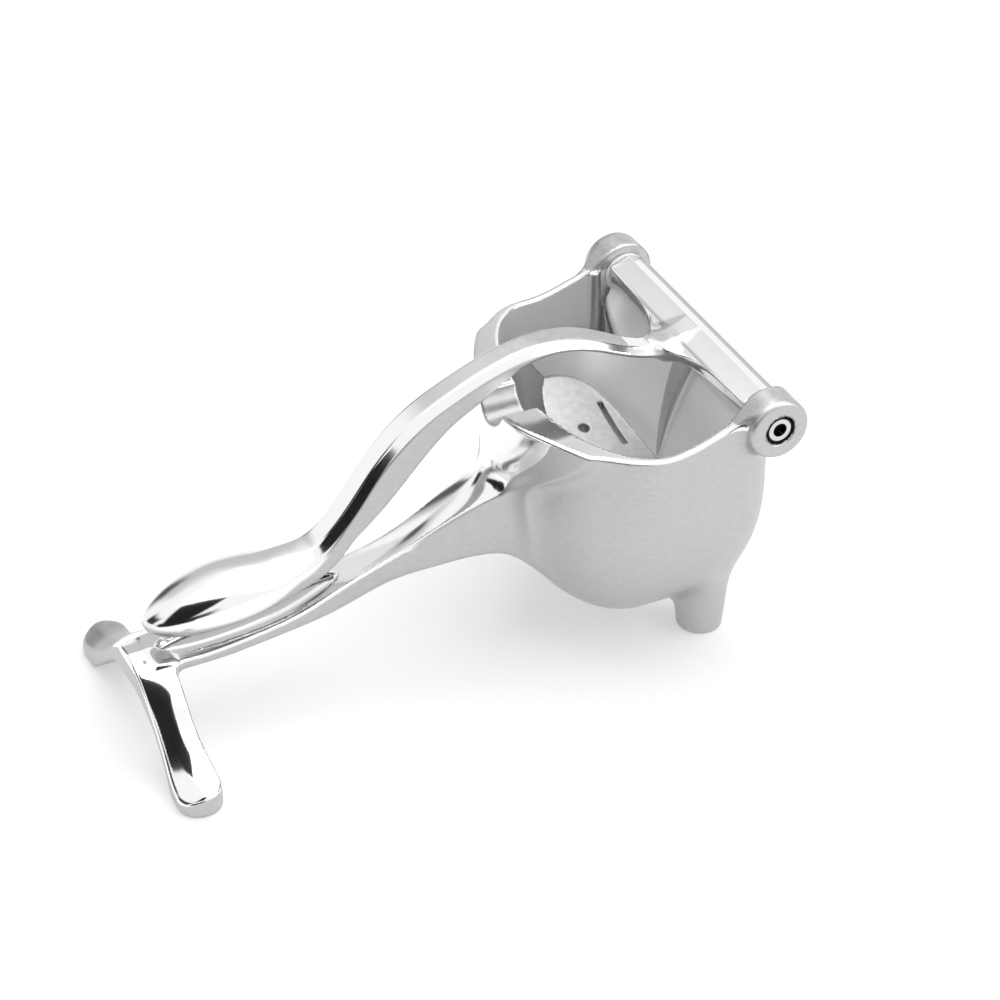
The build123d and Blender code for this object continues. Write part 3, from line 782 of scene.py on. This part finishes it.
    def shoe(self, x: Array, y: Array, z: Array) -> Array:
        """The press shoe: a dished floor and leaning wall, trimmed to its crest and its swing."""
        a = np.abs(y)
        depth = np.hypot(y, z - self.crease - self.dish)
        outside = blend_max(self.wall_field(x, y, z, self.wall), depth - self.dish - self.wall, 3.0)
        inside = blend_max(self.wall_field(x, y, z, 0.0), depth - self.dish, 0.5)
        shell = blend_max(outside, -inside, 0.6)
        share = np.maximum(1.0 - (y / self.swing_half) ** 2, 0.0)
        swing = HINGE.radius(x, z) - self.swing_side - self.swing_bulge * np.sqrt(share)
        crest = blend_min(z - self.wing_top, self.curtain - x, 3.0)
        shell = overlap([shell, crest, z - self.shoe_top, swing * 0.8], 0.9)
        middle, half_wide, aside, half_long = self.juice_slot
        slot = overlap([np.abs(x - middle) - half_wide, np.abs(a - aside) - half_long,
                        z - self.floor_top], 0.2)
        vent = np.hypot(x - self.vent[0], a - self.vent[1]) - self.vent[2]
        return blend_max(shell, -np.minimum(slot, np.maximum(vent, z - self.floor_top)), 0.5)

    def rib(self, x: Array, y: Array, z: Array) -> Array:
        """The upright rib on the shoe's back wall, wider and prouder towards the bar."""
        rise = z - self.crease
        side = np.abs(y) - self.rib_half[0] - self.rib_half[1] * rise
        wall = self.wall_centre + self.wall_rear(z)
        front = wall - self.rib_proud[0] - self.rib_proud[1] * rise - x
        return overlap([blend_max(side, front, 1.0), x - wall - 1.0, 2.0 - rise,
                        z - self.shoe_top + 1.0], 0.4)

    def form(self, x: Array, y: Array, z: Array) -> Array:
        """Pad, arm, web, bar, shoe and rib joined by fillets, with the screw holes bored."""
        pad = blend_max(unit_field(self.pad_raw, x, y, z), x - self.pad_rear, 1.0)
        lever = blend_min(pad, self.arm(x, y, z), 7.0)
        plate = blend_min(self.web(x, y, z), self.bar(x, y, z), 4.0)
        lever = blend_min(lever, plate, 5.0)
        press = blend_min(self.shoe(x, y, z), self.rib(x, y, z), 1.6)
        lever = blend_min(lever, press, 3.0)
        lever = blend_max(lever, np.abs(y) - HINGE.bar_end, 0.4)
        bore = np.maximum(HINGE.radius(x, z) - self.screw_hole, self.screw_end - np.abs(y))
        return blend_max(lever, -bore, 0.2)

    def masks(self, p: Array) -> Dict[str, Array]:
        """Polish on the arm's top and bevels, pad, web and bar; the shoe's wall and its cast floor."""
        x, y, z = p.T
        a = np.abs(y)
        above = np.abs(self.arm_top.above(x, z))
        arm = least(self.near_arm - above, (self.strap_fade[0] - x) / self.strap_fade[1])
        pad = least((self.pad_fade[0] - x) / self.pad_fade[1],
                    (z - self.arm_top(x) + self.pad_side[0]) / self.pad_side[1])
        bevel = least(self.near_arm - above, a - self.arm_half(x) + 2.2, self.web_polish - x)
        web = least(0.8 - above, x - self.web_polish)
        bar = least(1.0 - np.abs(HINGE.radius(x, z) - HINGE.bar_radius + 0.5), z - HINGE.z,
                    3.2 - (x - HINGE.x))
        wall = least(0.9 - np.abs(self.wall_field(x, y, z, 0.0)), self.curtain + 8.0 - x,
                     self.shoe_top - z)
        depth = np.hypot(y, z - self.crease - self.dish) - self.dish
        return {"polish": np.maximum.reduce([arm, pad, bevel, web, bar]), "inner": wall,
                "cast": least(0.5 - np.abs(depth), x - self.floor_skin)}


# ---- shader kit

class Shader:
    """A node tree with short calls for adding and joining nodes."""

    def __init__(self, tree: bpy.types.NodeTree) -> None:
        """Take over an empty tree."""
        self.tree = tree

    def node(self, kind: str, **values: object) -> bpy.types.Node:
        """Add a node and set its plain properties."""
        made = self.tree.nodes.new(kind)
        for key, value in values.items():
            setattr(made, key, value)
        return made

    def feed(self, socket: Socket, value: object) -> None:
        """Join an output to a socket, or set the socket's own value."""
        if isinstance(value, Socket):
            self.tree.links.new(value, socket)
        else:
            socket.default_value = value

    def call(self, kind: str, inputs: Dict[object, object], result: object = 0,
             **values: object) -> Socket:
        """Add a node and feed it.

        Args:
            kind: the node's type.
            inputs: values or outputs by the name or number of the input.
            result: the name or number of the output wanted.
            values: the node's plain properties.

        Returns:
            The output wanted.
        """
        made = self.node(kind, **values)
        for key, value in inputs.items():
            self.feed(made.inputs[key], value)
        return made.outputs[result]

    def math(self, kind: str, a: object, b: object = 0.0) -> Socket:
        """A Math node's result."""
        return self.call("ShaderNodeMath", {0: a, 1: b}, operation=kind)

    def lift(self, value: Socket, factor: float, base: object) -> Socket:
        """A base with a value times a factor added."""
        return self.math("ADD", base, self.math("MULTIPLY", value, factor))

    def span(self, value: object, low: float, high: float, out_low: float = 0.0,
             out_high: float = 1.0) -> Socket:
        """A smooth ramp of a value from one range to another."""
        return self.call("ShaderNodeMapRange", {0: value, 1: low, 2: high, 3: out_low, 4: out_high},
                         interpolation_type="SMOOTHSTEP")

    def mix(self, share: object, a: object, b: object) -> Socket:
        """Two colours mixed by a share."""
        return self.call("ShaderNodeMix", {"Factor": share, 6: a, 7: b}, 2, data_type="RGBA")

    def blend(self, share: object, a: object, b: object) -> Socket:
        """Two numbers mixed by a share."""
        return self.call("ShaderNodeMix", {"Factor": share, 2: a, 3: b}, data_type="FLOAT")

    def noise(self, place: Socket, scale: float, detail: float) -> Socket:
        """A noise value over a place."""
        inputs = {"Vector": place, "Scale": scale, "Detail": detail}
        return self.call("ShaderNodeTexNoise", inputs, "Fac")

    def place(self, scale: Triple) -> Socket:
        """Object coordinates stretched per axis."""
        source = self.node("ShaderNodeTexCoord").outputs["Object"]
        return self.call("ShaderNodeMapping", {"Vector": source, "Scale": scale}, "Vector")

    def bump(self, height: Socket, strength: float, distance: float) -> Socket:
        """A normal bent by a height; the distance is in metres."""
        inputs = {"Strength": strength, "Distance": distance, "Height": height}
        return self.call("ShaderNodeBump", inputs, "Normal")

    def end(self, shader: Socket, kind: str = "ShaderNodeOutputMaterial") -> None:
        """End the tree in a shader."""
        self.feed(self.node(kind).inputs["Surface"], shader)

    def principled(self, colour: Socket, rough: Socket, metallic: float, normal: Socket) -> None:
        """End the tree in a Principled shader."""
        self.end(self.call("ShaderNodeBsdfPrincipled", {
            "Base Color": colour, "Roughness": rough, "Metallic": metallic, "Normal": normal}, "BSDF"))


@dataclass(frozen=True)
class Layer:
    """One noise of a shared effect: its output, stretch, scale, detail, ramp and tie to the input."""

    output: str
    stretch: Triple
    scale: float
    detail: float
    ramp: Sizes = ()
    follows: bool = True


@dataclass(frozen=True)
class Effect:
    """An effect that several materials share, built as a group of noises over Object coordinates."""

    name: str
    knob: str
    layers: Tuple[Layer, ...]

    def group(self) -> bpy.types.NodeTree:
        """Build the group; its one input scales the layers that follow it."""
        tree = bpy.data.node_groups.new(self.name, "ShaderNodeTree")
        for label, way in ((self.knob, "INPUT"), *((layer.output, "OUTPUT") for layer in self.layers)):
            socket = tree.interface.new_socket(name=label, in_out=way, socket_type="NodeSocketFloat")
            socket.default_value = 1.0 if way == "INPUT" else 0.0
        kit = Shader(tree)
        source, sink = kit.node("NodeGroupInput"), kit.node("NodeGroupOutput")
        for layer in self.layers:
            place = kit.place(layer.stretch)
            if layer.follows:
                place = kit.call("ShaderNodeVectorMath", {0: place, "Scale": source.outputs[self.knob]},
                                 operation="SCALE")
            value = kit.noise(place, layer.scale, layer.detail)
            kit.feed(sink.inputs[layer.output], kit.span(value, *layer.ramp) if layer.ramp else value)
        return tree


EVEN = (1.0, 1.0, 1.0)
# Fine sanding lines round the tool, with a slow clouding.
SANDING = Effect("sanding_lines", "Fineness", (
    Layer("Lines", (1.0, 1.0, 9.0), 420.0, 3.0), Layer("Cloud", EVEN, 38.0, 2.0, follows=False)))
# The soft waviness that hand polishing leaves, with a few fine wipe marks.
POLISHING = Effect("hand_polish", "Size", (
    Layer("Wave", EVEN, 95.0, 1.0), Layer("Marks", (1.0, 4.0, 1.5), 260.0, 4.0, (0.52, 0.75), False)))
# The mottled skin that the mould leaves: clouds of pale and dark with a fine tooth.
MOULDING = Effect("mould_skin", "Scale", (
    Layer("Mottle", EVEN, 420.0, 5.0), Layer("Tooth", EVEN, 1500.0, 2.0)))


class Groups:
    """The shared effects, each built once."""

    def __init__(self) -> None:
        """Build every group."""
        self.trees = {effect.name: effect.group() for effect in (SANDING, POLISHING, MOULDING)}

    def put(self, kit: Shader, effect: Effect, value: float = 1.0) -> Tuple[Socket, ...]:
        """Place an effect in a material with its input's value, and give back its outputs."""
        made = kit.node("ShaderNodeGroup", node_tree=self.trees[effect.name])
        made.inputs[effect.knob].default_value = value
        return tuple(made.outputs)


def blank_material(name: str) -> Tuple[bpy.types.Material, Shader]:
    """A new material with an empty tree, and a shader kit on it."""
    made = bpy.data.materials.new(name)
    made.use_nodes = True
    made.node_tree.nodes.clear()
    return made, Shader(made.node_tree)


def tone(colour: Colour, factor: float = 1.0) -> Sizes:
    """A colour made lighter or darker by a factor, at most white, and opaque."""
    return (*[min(1.0, part * factor) for part in colour], 1.0)


@dataclass(frozen=True)
class CastMetal:
    """Cast aluminium, satin but where the piece's own masks ask for another finish."""

    name: str
    mirror: Colour = (0.93, 0.93, 0.932)
    satin: Colour = (0.52, 0.52, 0.524)
    skin: Colour = (0.50, 0.50, 0.504)
    inner_rough: float = 0.50
    mirror_rough: float = 0.12
    satin_rough: float = 0.36
    skin_rough: float = 0.48
    mask_edge: float = 0.15
    relief: float = 0.00012

    def mask(self, kit: Shader, name: str) -> Socket:
        """One where the mask is above zero, with a soft line."""
        made = kit.node("ShaderNodeAttribute", attribute_name=name)
        return kit.span(made.outputs["Fac"], -self.mask_edge, self.mask_edge)

    def material(self, groups: Groups) -> bpy.types.Material:
        """Build the material.

        Args:
            groups: the shared effects.

        Returns:
            The finished material.
        """
        made, kit = blank_material(self.name)
        shine, inner, cast = [self.mask(kit, name) for name in ("polish", "inner", "cast")]
        lines, cloud = groups.put(kit, SANDING)
        wave, marks = groups.put(kit, POLISHING)
        mottle, tooth = groups.put(kit, MOULDING)
        matt = kit.mix(kit.span(lines, 0.3, 0.7), tone(self.satin, 0.93), tone(self.satin, 1.06))
        bright = kit.mix(marks, tone(self.mirror), tone(self.mirror, 0.98))
        raw = kit.mix(kit.span(mottle, 0.38, 0.66), tone(self.skin, 0.91), tone(self.skin, 1.06))
        colour = kit.mix(inner, kit.mix(shine, matt, bright), tone(self.mirror, 0.99))
        rough = kit.blend(shine, kit.lift(cloud, 0.03, kit.lift(lines, 0.12, self.satin_rough - 0.06)),
                          kit.lift(marks, 0.02, self.mirror_rough))
        rough = kit.blend(inner, rough, kit.lift(lines, 0.06, self.inner_rough - 0.03))
        height = kit.blend(shine, kit.math("MULTIPLY", lines, 0.35), kit.math("MULTIPLY", wave, 0.6))
        height = kit.blend(cast, height, kit.lift(tooth, 0.5, kit.math("MULTIPLY", mottle, 2.2)))
        kit.principled(kit.mix(cast, colour, raw),
                       kit.blend(cast, rough, kit.lift(mottle, 0.12, self.skin_rough - 0.05)),
                       1.0, kit.bump(height, 0.35, self.relief))
        return made


class Turning(Enum):
    """The look that a small turned or moulded part has."""

    STEEL = "steel"
    BRONZE = "bronze"
    NYLON = "nylon"


@dataclass(frozen=True)
class SmallPart:
    """The finish of a screw, bush or washer; a screw's socket and the ring round its head get painted
    shade.
    """

    name: str
    kind: Turning
    colour: Colour
    rough: float
    metallic: float
    # Radii of the painted shade: black inside the first and outside the second.
    socket_shade_radius: float = 0.0
    outer_shade_radius: float = 1.0
    edge: float = 0.15
    # Near black painted as the shade in the socket and round the head.
    black: Colour = (0.018, 0.018, 0.019)

    def darkness(self, kit: Shader) -> Socket:
        """Painted shade: one inside the socket and outside the outer radius, by distance from the hinge
        line, standing for the dark of the socket and of the gap round the head.
        """
        split = kit.node("ShaderNodeSeparateXYZ")
        kit.feed(split.inputs[0], kit.node("ShaderNodeTexCoord").outputs["Object"])
        along = kit.math("SUBTRACT", split.outputs["X"], HINGE.x * MM)
        up = kit.math("SUBTRACT", split.outputs["Z"], HINGE.z * MM)
        reach = kit.math("SQRT", kit.math("ADD", kit.math("MULTIPLY", along, along),
                                          kit.math("MULTIPLY", up, up)))
        inside = kit.span(reach, self.socket_shade_radius * MM, (self.socket_shade_radius + self.edge) * MM, 1.0, 0.0)
        outside = kit.span(reach, self.outer_shade_radius * MM, (self.outer_shade_radius + self.edge) * MM)
        return kit.math("MAXIMUM", inside, outside)

    def material(self, groups: Groups) -> bpy.types.Material:
        """Build the material, with turning rings on metal, a soft cloud on nylon and painted shade in a
        screw's socket and round its head.
        """
        made, kit = blank_material(self.name)
        moulded = self.kind is Turning.NYLON
        lines, cloud = groups.put(kit, SANDING, 1.0 if moulded else 2.5)
        colour = kit.mix(kit.span(cloud if moulded else lines, 0.3, 0.7), tone(self.colour, 0.85),
                         tone(self.colour, 1.08))
        rough = kit.lift(lines, 0.1, self.rough - 0.04)
        # Painted shade: the socket and the ring round the screw head are mixed to near black.
        if self.socket_shade_radius > 0.0:
            dark = self.darkness(kit)
            colour = kit.mix(dark, colour, tone(self.black))
            rough = kit.blend(dark, rough, 0.55)
        kit.principled(colour, rough, self.metallic, kit.bump(lines, 0.25, 0.00005))
        return made


def give(made: bpy.types.Object, material: bpy.types.Material) -> None:
    """Make a material the object's only one."""
    if made.data.materials:
        for index in range(len(made.data.materials)):
            made.data.materials[index] = material
    else:
        made.data.materials.append(material)


@dataclass
class HingeHardware:
    """Screws, bushes and washers, which keep their own solids and take real finishes; the screws also get
    painted shade in the socket and round the head.
    """

    screws: Tuple[str, ...] = ("hinge_screw_near", "hinge_screw_far")
    bushes: Tuple[str, ...] = ("lug_bush_near", "lug_bush_far")
    washers: Tuple[str, ...] = ("thrust_washer_near", "thrust_washer_far")

    def dress(self, frame: Dict, groups: Groups) -> None:
        """Give each small part its finish.

        Args:
            frame: the loaded frame.
            groups: the shared effects.
        """
        # The screw's material paints shade into the socket (radius 2.15) and outside the head ring (radius
        # 3.55).
        steel = SmallPart("screw_steel_painted_shade", Turning.STEEL, (0.66, 0.66, 0.67), 0.28, 1.0, 2.15, 3.55)
        bronze = SmallPart("bush_bronze", Turning.BRONZE, (0.62, 0.44, 0.22), 0.35, 1.0)
        nylon = SmallPart("washer_nylon", Turning.NYLON, (0.86, 0.86, 0.84), 0.45, 0.0)
        for names, finish in ((self.screws, steel), (self.bushes, bronze), (self.washers, nylon)):
            material = finish.material(groups)
            for name in names:
                give(frame["nodes"][name], material)
                LOG.info("%s: %s", name, finish.kind.value)


# ---- studio

@dataclass(frozen=True)
class Flag:
    """A dark rectangle in the surroundings: its middle, half sizes and soft edge in degrees."""

    heading: float
    height: float
    half_wide: float
    half_tall: float
    soft: float
    darkness: float


@dataclass
class Studio:
    """Camera, white floor, soft lamps and the surroundings that the polished metal shows."""

    camera_place: Triple = (-0.32019, -0.72168, 0.61186)
    azimuth: float = -25.53
    elevation: float = 35.2
    lens: float = 115.0
    floor_half: float = 3.0
    floor_colour: Colour = (0.68, 0.68, 0.68)
    floor_glow: float = 0.40
    card_colour: Colour = (0.02, 0.02, 0.02)
    fill: float = 0.55
    flags: Tuple[Flag, ...] = (
        Flag(-130.0, 5.0, 34.0, 12.0, 6.0, 0.94), Flag(88.0, 27.0, 27.0, 14.0, 7.0, 0.42),
        Flag(103.0, 19.0, 11.0, 12.0, 7.0, 0.90), Flag(162.0, 22.0, 20.0, 14.0, 5.0, 0.96),
        Flag(-15.0, 25.0, 12.0, 9.0, 3.0, 0.95))

    def camera(self) -> None:
        """The camera, on a long lens from the front left and above."""
        data = bpy.data.cameras.new("camera")
        data.sensor_width = 36.0
        data.lens = self.lens
        data.clip_start = 0.01
        made = bpy.data.objects.new("camera", data)
        made.location = self.camera_place
        made.rotation_euler = (math.radians(90.0 - self.elevation), 0.0, math.radians(self.azimuth))
        bpy.context.scene.collection.objects.link(made)
        bpy.context.scene.camera = made

    def floor(self) -> None:
        """A wide white floor that keeps the soft shadow."""
        grid = np.linspace(-self.floor_half, self.floor_half, 5)
        gx, gy = np.meshgrid(grid, grid, indexing="ij")
        points = np.stack([gx.ravel(), gy.ravel(), np.full(gx.size, -0.00005)], 1) / MM
        start = (np.arange(4)[:, None] * 5 + np.arange(4)[None, :]).ravel()
        faces = np.stack([start, start + 5, start + 6, start + 1], 1)
        made = write_mesh("floor", points, faces)
        material, kit = blank_material("white_sweep")
        path = kit.node("ShaderNodeLightPath")
        seen = kit.math("MAXIMUM", path.outputs["Is Camera Ray"],
                        kit.math("MAXIMUM", path.outputs["Is Glossy Ray"],
                                 path.outputs["Is Transmission Ray"]))
        matt = kit.call("ShaderNodeBsdfDiffuse", {"Color": tone(self.floor_colour)})
        glow = kit.call("ShaderNodeEmission", {"Strength": kit.math("MULTIPLY", seen, self.floor_glow)})
        kit.end(kit.call("ShaderNodeAddShader", {0: matt, 1: glow}))
        give(made, material)

    def window(self, kit: Shader, direction: Socket, flag: Flag) -> Socket:
        """How far a flag covers a direction.

        The direction is turned so that the flag's heading is ahead; then its angle to the side
        and its angle above the horizon are each compared with the flag's half sizes.

        Args:
            kit: the world's shader kit.
            direction: the direction looked in.
            flag: the flag.

        Returns:
            The flag's darkness there, nought outside it.
        """
        turn = math.radians(flag.heading)
        ahead, aside, up = [
            kit.call("ShaderNodeVectorMath", {0: direction, 1: axis}, "Value", operation="DOT_PRODUCT")
            for axis in ((math.cos(turn), math.sin(turn), 0.0), (-math.sin(turn), math.cos(turn), 0.0),
                         (0.0, 0.0, 1.0))]
        beside = kit.math("ABSOLUTE", kit.math("ARCTAN2", aside, ahead))
        above = kit.math("ABSOLUTE", kit.math("SUBTRACT", kit.math("ARCSINE", up),
                                              math.radians(flag.height)))
        soft = math.radians(flag.soft)
        wide, tall = math.radians(flag.half_wide), math.radians(flag.half_tall)
        inside = kit.math("MULTIPLY", kit.span(beside, wide - soft, wide + soft, 1.0, 0.0),
                          kit.span(above, tall - soft, tall + soft, 1.0, 0.0))
        return kit.math("MULTIPLY", inside, flag.darkness)

    def world(self) -> None:
        """White surroundings with grey and black flags that only reflections show."""
        world = bpy.data.worlds.new("studio")
        bpy.context.scene.world = world
        world.use_nodes = True
        world.node_tree.nodes.clear()
        kit = Shader(world.node_tree)
        direction = kit.node("ShaderNodeTexCoord").outputs["Generated"]
        dark = None
        for flag in self.flags:
            patch = self.window(kit, direction, flag)
            dark = patch if dark is None else kit.math("MAXIMUM", dark, patch)
        white = tone((1.0, 1.0, 1.0))
        path = kit.node("ShaderNodeLightPath")
        glossy = path.outputs["Is Glossy Ray"]
        seen = kit.mix(glossy, white, kit.mix(dark, white, tone((0.0, 0.0, 0.0))))
        direct = kit.math("MAXIMUM", path.outputs["Is Camera Ray"], glossy)
        strength = kit.blend(direct, self.fill, 1.0)
        kit.end(kit.call("ShaderNodeBackground", {"Color": seen, "Strength": strength}),
                "ShaderNodeOutputWorld")

    def card(self, name: str, centre: Triple, facing: Triple, wide: float, tall: float) -> None:
        """A black card that only reflections show.

        Args:
            name: the card's name.
            centre: its middle, in metres.
            facing: the point that it faces, in metres.
            wide: its level side, in metres.
            tall: its other side, in metres.
        """
        middle = np.array(centre)
        out = np.array(facing) - middle
        out /= np.linalg.norm(out)
        level = np.cross((0.0, 0.0, 1.0), out)
        level /= np.linalg.norm(level)
        rise = np.cross(out, level)
        ends = np.array([(-1, -1), (1, -1), (1, 1), (-1, 1)]) / 2.0
        points = (middle + ends[:, :1] * wide * level + ends[:, 1:] * tall * rise) / MM
        made = write_mesh(name, points, np.array([[0, 1, 2, 3]]))
        material, kit = blank_material(name)
        kit.end(kit.call("ShaderNodeBsdfDiffuse", {"Color": tone(self.card_colour)}))
        give(made, material)
        made.visible_camera = made.visible_diffuse = made.visible_shadow = False

    def lamp(self, name: str, place: Triple, size: float, power: float) -> None:
        """A square soft lamp that faces the tool."""
        data = bpy.data.lights.new(name, "AREA")
        data.shape = "SQUARE"
        data.size = size
        data.energy = power
        made = bpy.data.objects.new(name, data)
        made.location = place
        aim = np.array((0.0, 0.0, 0.04)) - np.array(place)
        flat = math.hypot(aim[0], aim[1])
        made.rotation_euler = (math.atan2(flat, -aim[2]), 0.0, math.atan2(aim[1], aim[0]) - math.pi / 2)
        bpy.context.scene.collection.objects.link(made)

    def build(self) -> None:
        """Set up the whole studio."""
        bpy.context.scene.view_settings.view_transform = "Standard"
        self.camera()
        self.floor()
        self.world()
        self.lamp("top_lamp", (0.15, 0.10, 1.2), 1.3, 9.0)
        self.lamp("side_lamp", (0.9, -0.7, 0.8), 1.0, 5.0)
        self.card("low_card", (-0.29, -0.225, 0.06), (-0.06, 0.0, 0.04), 0.30, 0.12)
        self.card("foot_card", (-0.127, -0.056, 0.094), (-0.092, -0.027, 0.015), 0.08, 0.10)
        LOG.info("studio ready")


def main() -> None:
    """Load the frame, build and dress each sub-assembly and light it."""
    logging.basicConfig(level=logging.INFO, format="%(name)s: %(message)s")
    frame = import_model()
    groups = Groups()
    body = BodyCasting().build()
    give(body, CastMetal("body_aluminium").material(groups))
    lever = PressLever().build()
    give(lever, CastMetal("lever_aluminium").material(groups))
    HingeHardware().dress(frame, groups)
    Studio().build()


if __name__ == "__main__":
    main()
